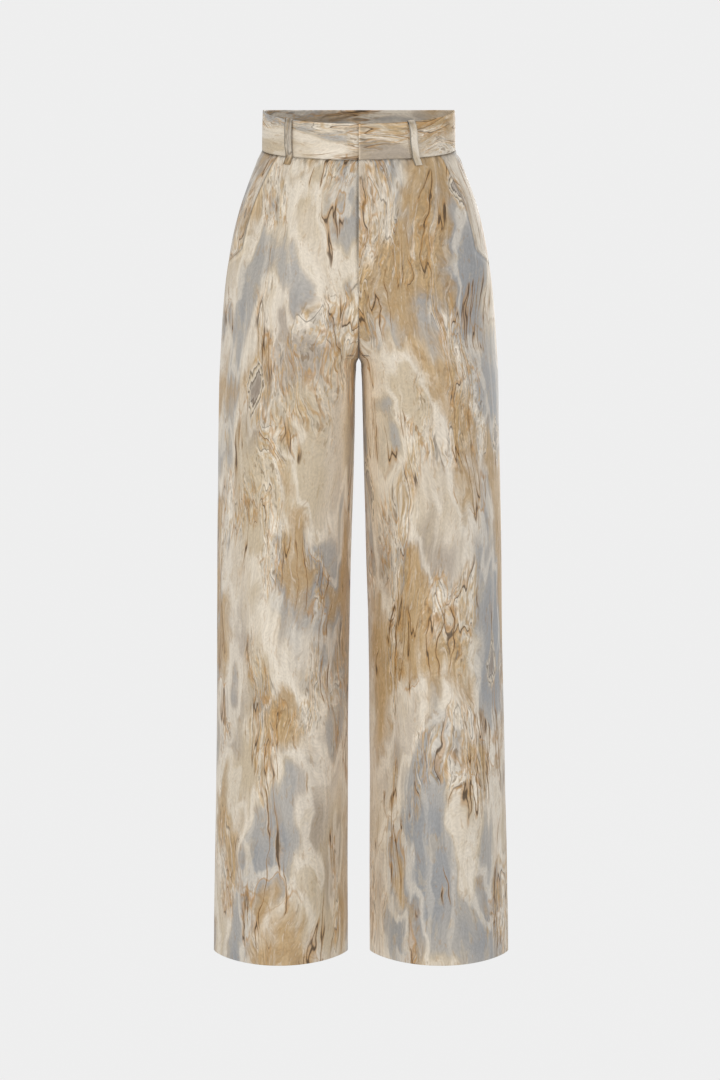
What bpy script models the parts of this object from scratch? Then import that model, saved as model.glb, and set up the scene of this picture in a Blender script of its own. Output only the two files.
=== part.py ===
# Straight-leg trousers, filled out as when worn: two fronts with slant pockets, two backs,
# a one-strip waistband that laps at the centre front, and five belt loops.
# Metres, +Z up. The origin is the centre of the waist opening, and the front faces -Y.
# Each piece is a flat slab of cloth, bent onto the form point by point.

import math
from collections import namedtuple

import bmesh
import bpy
import numpy as np

# Driving sizes
OUTSEAM = 1.097  # top of the waistband to the hem, down the side
RISE = 0.320  # top of the waistband to the crotch, measured straight down at the side
BAND_HEIGHT = 0.051
SEAM_GAP = 0.0003
CLOTH = 0.0016
FACING_CLOTH = 0.0012
BAND_CLOTH = 0.0024
SEAM_TUCK = 0.0009  # the band stands proud of the cloth that is sewn into it
TUCK_REACH = 0.014

# Fly: the wearer's left front lies over an extension of the right one
FLY_END = 0.226
FLY_TAPER = 0.016
FLY_LAP = 0.010
FLY_LIFT = 0.0009
FLY_REACH = 0.030
FLY_SINK_START = 0.018  # how far before the centre the right front starts to pass behind
FLY_SINK_WIDTH = 0.011
FLY_CLEAR = 0.00045
BAND_LAP = 0.032

# Slant pockets: places across the front are shares of the way from centre to side seam
POCKET_TOP = 0.622
POCKET_FOOT = 0.705
POCKET_BEND = 0.178
POCKET_END = 0.208
POCKET_UNDER = 0.06
POCKET_LIFT = 0.0008
POCKET_CLEAR = 0.0007

# Belt loops
LOOP_WIDTH = 0.011
LOOP_CLOTH = 0.0014
LOOP_SLACK = 0.0030
LOOP_TAB = 0.011
LOOP_CLEAR = 0.0006

# The crotch: the body's ring parts into two legs
LEG_PINCH = 0.75  # 0.5 is an ellipse, more draws the leg's outer side to an edge
PART_HEIGHT = 0.135  # height above the crotch over which the body takes the legs' shape
CROTCH_HEIGHT = 0.080  # height above the crotch over which the centre seams curve inwards
CROTCH_ROUND = 0.12  # how far beside them, as a share of half the width, the cloth curves so
SPREAD_START = 0.215  # level from which the panels' columns spread for the legs
LEG_SWING = 0.003  # the left leg hangs this much wider at the hem, the right this much narrower

# The body, from the waist down: depth below the waist's top edge at the side, half the width,
# reach to the front and to the back, how far the line dips at the centre front and back, and
# the power of the section's curve, where 2 is an ellipse and more is squarer
Body = namedtuple("Body", "level half_width front back front_dip back_dip power")
BAND = (
    Body(0.000, 0.1240, 0.0880, 0.0900, 0.022, -0.005, 2.00),
    Body(0.051, 0.1250, 0.0905, 0.0940, 0.017, -0.005, 2.00),
)
BODY = (
    Body(0.051, 0.1250, 0.0905, 0.0940, 0.017, -0.005, 2.00),
    Body(0.062, 0.1300, 0.0945, 0.0985, 0.015, -0.004, 2.02),
    Body(0.077, 0.1362, 0.0985, 0.1035, 0.012, -0.003, 2.05),
    Body(0.096, 0.1435, 0.1030, 0.1085, 0.008, -0.002, 2.10),
    Body(0.120, 0.1518, 0.1070, 0.1140, 0.004, -0.001, 2.15),
    Body(0.150, 0.1597, 0.1105, 0.1190, 0.001, 0.000, 2.20),
    Body(0.185, 0.1667, 0.1135, 0.1235, 0.000, 0.000, 2.30),
    Body(0.220, 0.1722, 0.1150, 0.1260, 0.000, 0.000, 2.40),
    Body(0.260, 0.1762, 0.1165, 0.1270, 0.000, 0.000, 2.50),
    Body(0.300, 0.1788, 0.1170, 0.1260, 0.000, 0.000, 2.55),
    Body(0.320, 0.1800, 0.1166, 0.1247, 0.000, 0.000, 2.60),
)

# The legs, from the crotch down: how far the inseam and the side seam lie from the centre, the
# reach to the front and to the back, and the curve of the section's inner half, which is flat
# against the other leg at the crotch: a power as the body's, and a pinch as the outer half's
Leg = namedtuple("Leg", "level inseam side_seam front back power pinch")
LEG = (
    Leg(0.320, 0.0002, 0.1800, 0.1166, 0.1247, 4.20, 0.50),
    Leg(0.324, 0.0024, 0.1802, 0.1165, 0.1244, 4.20, 0.50),
    Leg(0.335, 0.0034, 0.1807, 0.1162, 0.1236, 4.08, 0.50),
    Leg(0.400, 0.0052, 0.1821, 0.1142, 0.1192, 3.10, 0.57),
    Leg(0.517, 0.0082, 0.1842, 0.1115, 0.1150, 2.35, 0.67),
    Leg(0.700, 0.0130, 0.1862, 0.1080, 0.1100, 2.00, 0.74),
    Leg(0.832, 0.0143, 0.1886, 0.1065, 0.1075, 2.00, 0.75),
    Leg(1.097, 0.0143, 0.1936, 0.1050, 0.1050, 2.00, 0.75),
)

# Soft vertical gathers below the waistband. across is a share of the way from centre to side seam
Gather = namedtuple("Gather", "side half across length width height")
RIGHT, LEFT = -1, 1
FRONT, BACK = -1, 1
GATHERS = (
    Gather(RIGHT, FRONT, 0.10, 0.060, 0.030, 0.0011),
    Gather(RIGHT, FRONT, 0.19, 0.095, 0.034, 0.0015),
    Gather(RIGHT, FRONT, 0.28, 0.070, 0.030, 0.0012),
    Gather(RIGHT, FRONT, 0.37, 0.115, 0.036, 0.0017),
    Gather(RIGHT, FRONT, 0.46, 0.070, 0.030, 0.0010),
    Gather(LEFT, FRONT, 0.08, 0.085, 0.030, 0.0013),
    Gather(LEFT, FRONT, 0.17, 0.060, 0.028, 0.0010),
    Gather(LEFT, FRONT, 0.26, 0.110, 0.034, 0.0016),
    Gather(LEFT, FRONT, 0.48, 0.090, 0.032, 0.0013),
    Gather(RIGHT, BACK, 0.20, 0.100, 0.055, 0.0015),
    Gather(RIGHT, BACK, 0.38, 0.120, 0.060, 0.0018),
    Gather(RIGHT, BACK, 0.78, 0.085, 0.055, 0.0013),
    Gather(LEFT, BACK, 0.19, 0.110, 0.055, 0.0016),
    Gather(LEFT, BACK, 0.37, 0.090, 0.060, 0.0014),
    Gather(LEFT, BACK, 0.77, 0.105, 0.055, 0.0016),
)

# Long soft folds of the legs: a trough where depth is below zero
Fold = namedtuple("Fold", "side half across top bottom width height")
FOLDS = (
    Fold(RIGHT, FRONT, 0.70, 0.42, 0.86, 0.11, -0.0022),
    Fold(LEFT, FRONT, 0.27, 0.46, 0.92, 0.10, -0.0020),
    Fold(RIGHT, BACK, 0.34, 0.33, 0.70, 0.12, -0.0040),
    Fold(RIGHT, BACK, 0.72, 0.50, 1.00, 0.12, -0.0030),
    Fold(LEFT, BACK, 0.36, 0.34, 0.76, 0.12, -0.0036),
    Fold(LEFT, BACK, 0.70, 0.46, 0.94, 0.13, -0.0032),
)

# Rows of the panels: close together at the waist and the crotch, wide apart down the legs
Zone = namedtuple("Zone", "start end rows")
ZONES = (
    Zone(BAND_HEIGHT + SEAM_GAP, 0.080, 3),
    Zone(0.080, POCKET_BEND, 5),
    Zone(POCKET_BEND, POCKET_END + 0.018, 4),
    Zone(POCKET_END + 0.018, RISE - 0.060, 2),
    Zone(RISE - 0.060, RISE - 0.012, 4),
    Zone(RISE - 0.012, RISE, 2),
    Zone(RISE, 0.324, 1),
    Zone(0.324, 0.335, 1),
    Zone(0.335, 0.400, 1),
    Zone(0.400, OUTSEAM, 7),
)
FRONT_COLUMNS = 24
BACK_COLUMNS = 22
FACING_COLUMNS = 9
BAND_COLUMNS = 68

Loop = namedtuple("Loop", "name around lean")
LOOPS = (
    Loop("belt_loop_front_left", 33.6, 0.006),
    Loop("belt_loop_front_right", -45.0, 0.002),
    Loop("belt_loop_back_left", 128.0, 0.001),
    Loop("belt_loop_back_centre", 180.0, 0.000),
    Loop("belt_loop_back_right", 232.0, -0.001),
)

STEP_ACROSS = 0.004  # steps of the slopes that give the surface's direction
STEP_DOWN = 0.0015


def smooth(share):
    share = np.clip(share, 0.0, 1.0)
    return share * share * (3.0 - 2.0 * share)


def read(table, column, level):
    """The column's value at a level, on a smooth curve through the table's rows."""
    levels = np.array([row.level for row in table])
    values = np.array([getattr(row, column) for row in table])
    slopes = np.gradient(values, levels)
    level = np.clip(level, levels[0], levels[-1])
    row = np.clip(np.searchsorted(levels, level) - 1, 0, len(levels) - 2)
    span = levels[row + 1] - levels[row]
    share = (level - levels[row]) / span
    rest = 1.0 - share
    return (
        values[row] * (1.0 + 2.0 * share) * rest**2
        + slopes[row] * span * share * rest**2
        + values[row + 1] * (1.0 + 2.0 * rest) * share**2
        - slopes[row + 1] * span * rest * share**2
    )


def rows_down():
    """The levels of the panels' rows, from the waist seam to the hem."""
    levels = [ZONES[0].start]
    for zone in ZONES:
        levels.extend(np.linspace(zone.start, zone.end, zone.rows + 1)[1:])
    return np.array(levels)


ROWS = rows_down()


def body_size(column, level):
    return np.where(level < BAND_HEIGHT, read(BAND, column, level), read(BODY, column, level))


def body_point(around, level):
    """A point of the body's ring. around is in radians from the centre front, to the wearer's left."""
    ahead = np.cos(around)
    aside = np.sin(around)
    reach = np.where(ahead > 0, body_size("front", level), body_size("back", level))
    dip = np.where(ahead > 0, body_size("front_dip", level), body_size("back_dip", level))
    x = body_size("half_width", level) * aside
    y = -np.sign(ahead) * reach * (1.0 - np.abs(aside) ** body_size("power", level)) ** 0.5
    z = -level - dip * np.abs(ahead)
    return np.stack([x, y, z], axis=-1)


def leg_depth(share, level):
    """The leg's depth as a share of its reach, from the inseam, 0, to the side seam, 1."""
    inner = (1.0 - np.abs(2.0 * share - 1.0) ** read(LEG, "power", level)) ** read(LEG, "pinch", level)
    outer = (1.0 - (2.0 * share - 1.0) ** 2) ** LEG_PINCH
    return np.where(share < 0.5, inner, outer)


def leg_point(side, half, share, level):
    """A point of one leg's tube. share runs from the inseam, 0, to the side seam, 1."""
    swing = side * LEG_SWING * smooth((level - RISE) / (OUTSEAM - RISE))
    inseam = read(LEG, "inseam", level)
    side_seam = read(LEG, "side_seam", level) + swing
    reach = read(LEG, "front" if half == FRONT else "back", level)
    x = side * (inseam + (side_seam - inseam) * share)
    y = half * reach * leg_depth(share, level)
    return np.stack([x, y, -level], axis=-1)


def form_point(side, half, across, level):
    """A point of the filled-out trousers: the body above, and legs that part towards the crotch."""
    across, level = np.broadcast_arrays(np.clip(across, 0.0, 1.0), level)
    spread = smooth((level - SPREAD_START) / (RISE - SPREAD_START))
    body_share = np.sin(across * math.pi / 2)
    leg_share = (1.0 - np.cos(across * math.pi)) / 2
    share = body_share + (leg_share - body_share) * spread
    around = np.arcsin(share)
    if half == BACK:
        around = math.pi - around
    points = body_point(side * around, level)
    reach = body_size("front" if half == FRONT else "back", level)
    depth = half * reach * leg_depth(share, level)
    height = CROTCH_HEIGHT + (PART_HEIGHT - CROTCH_HEIGHT) * smooth(2.0 * share)
    down = np.clip((level - RISE + height) / height, 0.0, 1.0)
    seam_curve = 1.0 - np.sqrt(1.0 - down**2)
    parted = seam_curve + (smooth(down) - seam_curve) * smooth(share / CROTCH_ROUND)
    points[..., 1] += (depth - points[..., 1]) * parted
    below = (level > RISE)[..., None]
    return np.where(below, leg_point(side, half, share, level), points)


def unit(vectors):
    return vectors / np.linalg.norm(vectors, axis=-1, keepdims=True)


def outward(side, half, across, level):
    """The direction that the cloth faces. It lies in the seam planes at the seams, and is level at both ends."""
    right = form_point(side, half, across + STEP_ACROSS, level)
    left = form_point(side, half, across - STEP_ACROSS, level)
    below = form_point(side, half, across, level + STEP_DOWN)
    above = form_point(side, half, across, level - STEP_DOWN)
    facing = np.cross(right - left, below - above) * side * half
    at_side = across > 0.9999
    at_inseam = (across < 0.0001) & (level > RISE - 0.0001)
    at_centre = (across < 0.0001) & (level < RISE + 0.0001)
    at_end = (level < ROWS[0] + 0.0001) | (level > OUTSEAM - 0.0001)
    facing[at_side | at_inseam, 1] = 0.0
    facing[at_centre, 0] = 0.0
    facing[at_end, 2] = 0.0
    return unit(facing)


def relief(side, half, across, level):
    """How far the gathers and folds stand out of the smooth form, and how far the seam draws it in."""
    below_seam = level - BAND_HEIGHT
    height = -SEAM_TUCK * (1.0 - smooth(below_seam / TUCK_REACH))
    for gather in GATHERS:
        if (gather.side, gather.half) == (side, half):
            bell = np.exp(-(((across - gather.across) / gather.width) ** 2))
            height = height + gather.height * bell * smooth(1.0 - below_seam / gather.length)
    for fold in FOLDS:
        if (fold.side, fold.half) == (side, half):
            bell = np.exp(-(((across - fold.across) / fold.width) ** 2))
            along = (level - fold.top) / (fold.bottom - fold.top)
            height = height + fold.height * bell * np.sin(math.pi * np.clip(along, 0.0, 1.0)) ** 2
    return height


def pocket_edge(level):
    """Where the pocket's mouth crosses a level: the front's side edge, or 1 below the pocket."""
    down = (level - BAND_HEIGHT) / (POCKET_BEND - BAND_HEIGHT)
    edge = POCKET_TOP + (POCKET_FOOT - POCKET_TOP) * np.sin(np.clip(down, 0.0, 1.0) * math.pi / 2)
    bend = smooth((level - POCKET_BEND) / (POCKET_END - POCKET_BEND))
    return edge + (1.0 - edge) * bend


def fly_lap(level):
    """How far the right front runs on behind the left one."""
    return FLY_LAP * (1.0 - smooth((level - FLY_END + FLY_TAPER) / FLY_TAPER))


def fly_zone(level):
    return 1.0 - smooth((level - FLY_END) / FLY_TAPER)


def sewn(points, side, half, lap=0.0):
    """Points kept half a gap clear of the planes of the centre seam and the side seams."""
    clear = SEAM_GAP / 2
    points[..., 0] = side * np.maximum(side * points[..., 0], clear - lap)
    points[..., 1] = half * np.maximum(half * points[..., 1], clear)
    return points


def front_point(side, u, v, w):
    level = np.interp(v * (len(ROWS) - 1), np.arange(len(ROWS)), ROWS)
    edge = pocket_edge(level)
    across = u * edge
    facing = outward(side, FRONT, across, level)
    points = form_point(side, FRONT, across, level)
    height = relief(side, FRONT, across, level)
    near_mouth = smooth(1.0 - (edge - across) / POCKET_UNDER) * (edge < 0.999)
    height = height + POCKET_LIFT * near_mouth
    from_centre = np.abs(points[..., 0])
    lap = 0.0
    if side == LEFT:
        height = height + FLY_LIFT * fly_zone(level) * smooth((FLY_REACH - from_centre) / (FLY_REACH - FLY_LAP))
    else:
        lap = fly_lap(level)
        points[..., 0] += lap * smooth(1.0 - from_centre / FLY_REACH)
        past_centre = points[..., 0] + FLY_SINK_START
        sink = CLOTH + SEAM_GAP - FLY_LIFT + FLY_CLEAR
        height = height - sink * fly_zone(level) * smooth(past_centre / FLY_SINK_WIDTH)
    points = points + facing * (height - CLOTH * (1.0 - w))[..., None]
    return sewn(points, side, FRONT, lap)


def back_point(side, u, v, w):
    level = np.interp(v * (len(ROWS) - 1), np.arange(len(ROWS)), ROWS)
    facing = outward(side, BACK, u, level)
    height = relief(side, BACK, u, level) - CLOTH * (1.0 - w)
    points = form_point(side, BACK, u, level) + facing * height[..., None]
    return sewn(points, side, BACK)


FACING_ROWS = ROWS[ROWS < POCKET_END + 0.020]


def facing_point(side, u, v, w):
    """The pocket's facing: under the front's edge at the mouth, level with the back at the side seam."""
    level = np.interp(v * (len(FACING_ROWS) - 1), np.arange(len(FACING_ROWS)), FACING_ROWS)
    edge = pocket_edge(level)
    start = edge - POCKET_UNDER
    across = start + u * (1.0 - start)
    shown = np.maximum(1.0 - edge, 0.0001)
    rise = smooth((across - edge) / shown) * smooth(shown / 0.25)
    under = -(CLOTH + POCKET_CLEAR) * (1.0 - rise)
    height = relief(side, FRONT, across, level) + under - FACING_CLOTH * (1.0 - w)
    facing = outward(side, FRONT, across, level)
    points = form_point(side, FRONT, across, level) + facing * height[..., None]
    return sewn(points, side, FRONT)


def band_facing(around, level):
    ahead = body_point(around + STEP_ACROSS, level) - body_point(around - STEP_ACROSS, level)
    facing = np.stack([-ahead[..., 1], ahead[..., 0], np.zeros_like(around)], axis=-1)
    return unit(-facing)


def band_point(u, v, w):
    """The waistband: from its top end at the centre front, round the waist, and on under that end."""
    half_width = BAND[0].half_width
    around = u * (2 * math.pi + math.asin(BAND_LAP / half_width))
    level = v * BAND_HEIGHT
    before_end = (2 * math.pi - around) * half_width
    sink = (BAND_CLOTH + SEAM_GAP) * smooth((0.016 - before_end) / 0.014)
    depth = sink + BAND_CLOTH * (1.0 - w)
    return body_point(around, level) - band_facing(around, level) * depth[..., None]


def loop_path():
    """The strap's line: (level, distance from the band) from over its top edge down to the tab."""
    on_cloth = LOOP_CLEAR + LOOP_CLOTH / 2
    standing = LOOP_SLACK + LOOP_CLOTH / 2
    over_top = -(SEAM_GAP + LOOP_CLOTH / 2) - 0.0002
    return (
        (over_top, -BAND_CLOTH / 2),
        (over_top, on_cloth * 0.4),
        (0.0012, on_cloth + 0.0004),
        (0.0075, standing * 0.8),
        (0.0160, standing),
        (0.0280, standing),
        (0.0380, standing * 0.9),
        (0.0460, on_cloth + 0.0009),
        (BAND_HEIGHT + 0.0010, on_cloth + 0.0006),
        (BAND_HEIGHT + 0.0050, on_cloth + 0.0003),
        (BAND_HEIGHT + LOOP_TAB, on_cloth + 0.0002),
    )


def loop_point(loop, u, v, w):
    """A strap that stands off the band between its sewn ends."""
    level, distance = np.array(loop_path()).T
    aside = loop.lean * (np.clip(level / BAND_HEIGHT, 0.0, 1.2) - 0.5)
    around = math.radians(loop.around) + aside / BAND[0].half_width
    on_band = np.maximum(level, 0.0)
    centre = body_point(around, on_band) + band_facing(around, on_band) * distance[:, None]
    centre[:, 2] -= level - on_band
    along = unit(np.gradient(centre, axis=0))
    ahead = band_facing(around, on_band)
    sideways = unit(body_point(around + STEP_ACROSS, on_band) - body_point(around - STEP_ACROSS, on_band))
    facing = unit(np.cross(along, sideways))
    middle = len(level) // 2
    facing = facing * np.sign(np.dot(facing[middle], ahead[middle]))
    place = v * (len(level) - 1)
    steps = np.arange(len(level))
    frame = [np.stack([np.interp(place, steps, part[:, axis]) for axis in range(3)], axis=-1)
             for part in (centre, sideways, facing)]
    across = (u - 0.5)[:, None] * LOOP_WIDTH
    through = (w - 0.5)[:, None] * LOOP_CLOTH
    return frame[0] + frame[1] * across + unit(frame[2]) * through


def cloth(name, columns, rows, place, material):
    """A slab of cloth, columns by rows, with each point moved to place(u, v, w). w is 1 on the outside."""
    mesh = bmesh.new()
    bmesh.ops.create_grid(mesh, x_segments=columns, y_segments=rows, size=0.5)
    extruded = bmesh.ops.extrude_face_region(mesh, geom=mesh.faces[:])
    top = [part for part in extruded["geom"] if isinstance(part, bmesh.types.BMVert)]
    bmesh.ops.translate(mesh, vec=(0.0, 0.0, 1.0), verts=top)
    bmesh.ops.recalc_face_normals(mesh, faces=mesh.faces[:])
    flat = np.array([vertex.co[:] for vertex in mesh.verts])
    bent = place(flat[:, 0] + 0.5, flat[:, 1] + 0.5, np.round(flat[:, 2]))
    for vertex, point in zip(mesh.verts, bent):
        vertex.co = point
    if mesh.calc_volume(signed=True) < 0.0:
        bmesh.ops.reverse_faces(mesh, faces=mesh.faces[:])
    data = bpy.data.meshes.new(name)
    mesh.to_mesh(data)
    mesh.free()
    data.shade_smooth()
    data.set_sharp_from_angle(angle=math.radians(50))
    data.materials.append(material)
    piece = bpy.data.objects.new(name, data)
    bpy.context.scene.collection.objects.link(piece)
    return piece


def cloth_material(name, colour, roughness):
    material = bpy.data.materials.new(name)
    material.use_nodes = True
    shader = material.node_tree.nodes["Principled BSDF"]
    shader.inputs["Base Color"].default_value = (*colour, 1.0)
    shader.inputs["Roughness"].default_value = roughness
    shader.inputs["Metallic"].default_value = 0.0
    return material


def make_fronts():
    material = cloth_material("printed_satin_front", (0.60, 0.50, 0.37), 0.45)
    for name, side in (("front_left", LEFT), ("front_right", RIGHT)):
        place = lambda u, v, w, side=side: front_point(side, u, v, w)
        cloth(name, FRONT_COLUMNS, len(ROWS) - 1, place, material)


def make_backs():
    material = cloth_material("printed_satin_back", (0.56, 0.48, 0.38), 0.45)
    for name, side in (("back_left", LEFT), ("back_right", RIGHT)):
        place = lambda u, v, w, side=side: back_point(side, u, v, w)
        cloth(name, BACK_COLUMNS, len(ROWS) - 1, place, material)


def make_pocket_facings():
    material = cloth_material("printed_satin_facing", (0.63, 0.55, 0.42), 0.45)
    for name, side in (("pocket_facing_left", LEFT), ("pocket_facing_right", RIGHT)):
        place = lambda u, v, w, side=side: facing_point(side, u, v, w)
        cloth(name, FACING_COLUMNS, len(FACING_ROWS) - 1, place, material)


def make_waistband():
    material = cloth_material("printed_satin_band", (0.58, 0.49, 0.38), 0.42)
    cloth("waistband", BAND_COLUMNS, 2, band_point, material)


def make_belt_loops():
    material = cloth_material("printed_satin_loop", (0.52, 0.42, 0.30), 0.45)
    for loop in LOOPS:
        place = lambda u, v, w, loop=loop: loop_point(loop, u, v, w)
        cloth(loop.name, 2, len(loop_path()) - 1, place, material)


def main():
    for thing in list(bpy.data.objects):
        bpy.data.objects.remove(thing, do_unlink=True)
    make_fronts()
    make_backs()
    make_pocket_facings()
    make_waistband()
    make_belt_loops()


main()
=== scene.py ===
# Straight-leg trousers in a marbled satin print, filled out as when worn.
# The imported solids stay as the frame; each one is stood for by a finer shell of cloth on the same form.

import math

import bmesh
import bpy
import numpy as np
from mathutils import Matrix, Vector


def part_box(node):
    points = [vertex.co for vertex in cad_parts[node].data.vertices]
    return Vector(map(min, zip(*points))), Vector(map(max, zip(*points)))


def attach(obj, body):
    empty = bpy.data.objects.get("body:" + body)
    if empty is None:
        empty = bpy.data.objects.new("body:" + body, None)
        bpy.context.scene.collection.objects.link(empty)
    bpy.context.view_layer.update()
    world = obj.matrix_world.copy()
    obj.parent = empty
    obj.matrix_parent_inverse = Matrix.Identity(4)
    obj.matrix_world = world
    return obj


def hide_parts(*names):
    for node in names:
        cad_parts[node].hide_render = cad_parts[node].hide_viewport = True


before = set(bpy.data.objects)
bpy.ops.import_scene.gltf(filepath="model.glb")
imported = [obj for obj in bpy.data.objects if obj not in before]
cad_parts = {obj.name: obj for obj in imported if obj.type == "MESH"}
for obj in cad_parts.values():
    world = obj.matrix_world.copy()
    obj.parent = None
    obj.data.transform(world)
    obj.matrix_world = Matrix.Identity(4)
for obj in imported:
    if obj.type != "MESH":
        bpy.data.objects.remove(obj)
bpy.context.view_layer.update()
print("frame loaded")

rightSide, leftSide = -1, 1  # the wearer's
frontHalf, backHalf = -1, 1
mm = 0.001

studio = dict(
    photoSize=(720, 1080),
    focalPixels=3308.0,  # the photo's focal length, from how the waist and the hems round away
    sensor=36.0,
    cameraPlace=(0.0016, -4.300, -0.2471),
    tiltDown=4.117,  # degrees
    floorDrop=0.30,  # below the hems: the garment hangs clear of the floor
    coveRadius=14.0, coveBend=6.0, coveWall=16.0, coveRoof=22.0, coveTurn=6, coveSteps=64,
    paperColour="eeeeee", paperGlow=1.0, paperDiffuse=0.004,
    ambient=0.63,
)

softboxes = (  # name, place, what it is aimed at, size, power, colour
    ("keySoftbox", (-1.9, -3.0, -0.10), (0, 0, -0.50), 1.8, 31, "fffaf2"),
    ("fillSoftbox", (2.4, -2.6, -0.45), (0, 0, -0.60), 2.2, 17.5, "f9faff"),
    ("backSoftbox", (1.2, 3.2, 0.3), (0, 0, -0.5), 2.4, 30, "fffdf8"),
)


def linearColour(hexColour):
    # an sRGB hex value as linear red, green and blue
    parts = [int(hexColour[at:at + 2], 16) / 255 for at in (0, 2, 4)]
    return [part / 12.92 if part <= 0.04045 else ((part + 0.055) / 1.055) ** 2.4 for part in parts]


def addNode(tree, kind, inputs=None, **settings):
    node = tree.nodes.new(kind)
    for name, value in settings.items():
        setattr(node, name, value)
    for socket, value in (inputs or {}).items():
        if isinstance(value, bpy.types.NodeSocket):
            tree.links.new(value, node.inputs[socket])
        else:
            node.inputs[socket].default_value = value
    return node.outputs


def newMaterial(name):
    material = bpy.data.materials.new(name)
    material.use_nodes = True
    material.node_tree.nodes.clear()
    return material, material.node_tree


def makeCamera():
    data = bpy.data.cameras.new("photoCamera")
    data.sensor_fit = "VERTICAL"
    data.sensor_width = studio["sensor"]
    data.sensor_height = studio["sensor"]
    data.lens = studio["sensor"] * studio["focalPixels"] / studio["photoSize"][1]
    camera = bpy.data.objects.new("photoCamera", data)
    camera.location = studio["cameraPlace"]
    camera.rotation_euler = (math.radians(90 - studio["tiltDown"]), 0, 0)
    bpy.context.scene.collection.objects.link(camera)
    bpy.context.scene.camera = camera


def makeLight(name, place, aim, size, power, colour):
    data = bpy.data.lights.new(name, "AREA")
    data.shape = "DISK"
    data.size = size
    data.energy = power
    data.color = linearColour(colour)
    light = bpy.data.objects.new(name, data)
    light.location = place
    towards = [a - b for a, b in zip(aim, place)]
    light.rotation_mode = "QUATERNION"
    light.rotation_quaternion = Vector(towards).to_track_quat("-Z", "Y")
    bpy.context.scene.collection.objects.link(light)


def makeStage(lowest):
    world = bpy.data.worlds.new("softStudio")
    world.use_nodes = True
    background = world.node_tree.nodes["Background"]
    background.inputs["Color"].default_value = (1, 1, 1, 1)
    background.inputs["Strength"].default_value = studio["ambient"]
    bpy.context.scene.world = world
    bpy.context.scene.view_settings.view_transform = "Standard"

    # a round studio cove of matte pale paper: floor, curve and wall in one turned sheet
    paper, tree = newMaterial("matteStudioPaper")
    pale = [*linearColour(studio["paperColour"]), 1]
    shader = addNode(tree, "ShaderNodeBsdfPrincipled", {
        "Base Color": [studio["paperDiffuse"]] * 3 + [1], "Roughness": 1.0, "Specular IOR Level": 0.0,
        "Emission Color": pale, "Emission Strength": studio["paperGlow"]})
    addNode(tree, "ShaderNodeOutputMaterial", {"Surface": shader[0]})
    cove = bmesh.new()
    floorLevel, bend, wall = lowest - studio["floorDrop"], studio["coveBend"], studio["coveRadius"]
    turns = [math.radians(angle) for angle in range(0, 91, studio["coveTurn"])]
    profile = [(0.0, 0.0), (wall - bend, 0.0)]
    profile += [(wall - bend + bend * math.sin(turn), bend - bend * math.cos(turn)) for turn in turns[1:]]
    profile += [(wall, studio["coveWall"]), (0.0, studio["coveRoof"])]
    corners = [cove.verts.new((out, 0, floorLevel + up)) for out, up in profile]
    edges = [cove.edges.new(pair) for pair in zip(corners, corners[1:])]
    bmesh.ops.spin(
        cove, geom=corners + edges, axis=(0, 0, 1), cent=(0, 0, 0), angle=2 * math.pi,
        steps=studio["coveSteps"], use_merge=True)
    bmesh.ops.remove_doubles(cove, verts=cove.verts, dist=1e-5)
    bmesh.ops.recalc_face_normals(cove, faces=cove.faces[:])
    bmesh.ops.reverse_faces(cove, faces=cove.faces[:])
    studioCove = finishObject("studioCove", cove, [paper])
    for ray in ("visible_diffuse", "visible_glossy", "visible_shadow"):
        setattr(studioCove, ray, False)  # the world and the lamps light the cloth, the paper is only seen

    for softbox in softboxes:
        makeLight(*softbox)


def finishObject(name, mesh, materials):
    data = bpy.data.meshes.new(name)
    mesh.to_mesh(data)
    mesh.free()
    data.shade_smooth()
    for material in materials:
        data.materials.append(material)
    piece = bpy.data.objects.new(name, data)
    bpy.context.scene.collection.objects.link(piece)
    return piece


form = dict(  # the solids' own form, in metres; levels are measured down from the waist
    outseam=1.097, rise=0.320, bandHeight=0.051,
    legPinch=0.75, partHeight=0.135, crotchHeight=0.080, crotchRound=0.12,
    spreadStart=0.215, legSwing=0.003,
)

bodyNames = ("level", "halfWidth", "front", "back", "frontDip", "backDip", "power")
bandRings = (
    (0.000, 0.1240, 0.0880, 0.0900, 0.022, -0.005, 2.00),
    (0.051, 0.1250, 0.0905, 0.0940, 0.017, -0.005, 2.00),
)
bodyRings = (
    (0.051, 0.1250, 0.0905, 0.0940, 0.017, -0.005, 2.00),
    (0.062, 0.1300, 0.0945, 0.0985, 0.015, -0.004, 2.02),
    (0.077, 0.1362, 0.0985, 0.1035, 0.012, -0.003, 2.05),
    (0.096, 0.1435, 0.1030, 0.1085, 0.008, -0.002, 2.10),
    (0.120, 0.1518, 0.1070, 0.1140, 0.004, -0.001, 2.15),
    (0.150, 0.1597, 0.1105, 0.1190, 0.001, 0.000, 2.20),
    (0.185, 0.1667, 0.1135, 0.1235, 0.000, 0.000, 2.30),
    (0.220, 0.1722, 0.1150, 0.1260, 0.000, 0.000, 2.40),
    (0.260, 0.1762, 0.1165, 0.1270, 0.000, 0.000, 2.50),
    (0.300, 0.1788, 0.1170, 0.1260, 0.000, 0.000, 2.55),
    (0.320, 0.1800, 0.1166, 0.1247, 0.000, 0.000, 2.60),
)
legNames = ("level", "inseam", "sideSeam", "front", "back", "power", "pinch")
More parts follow.
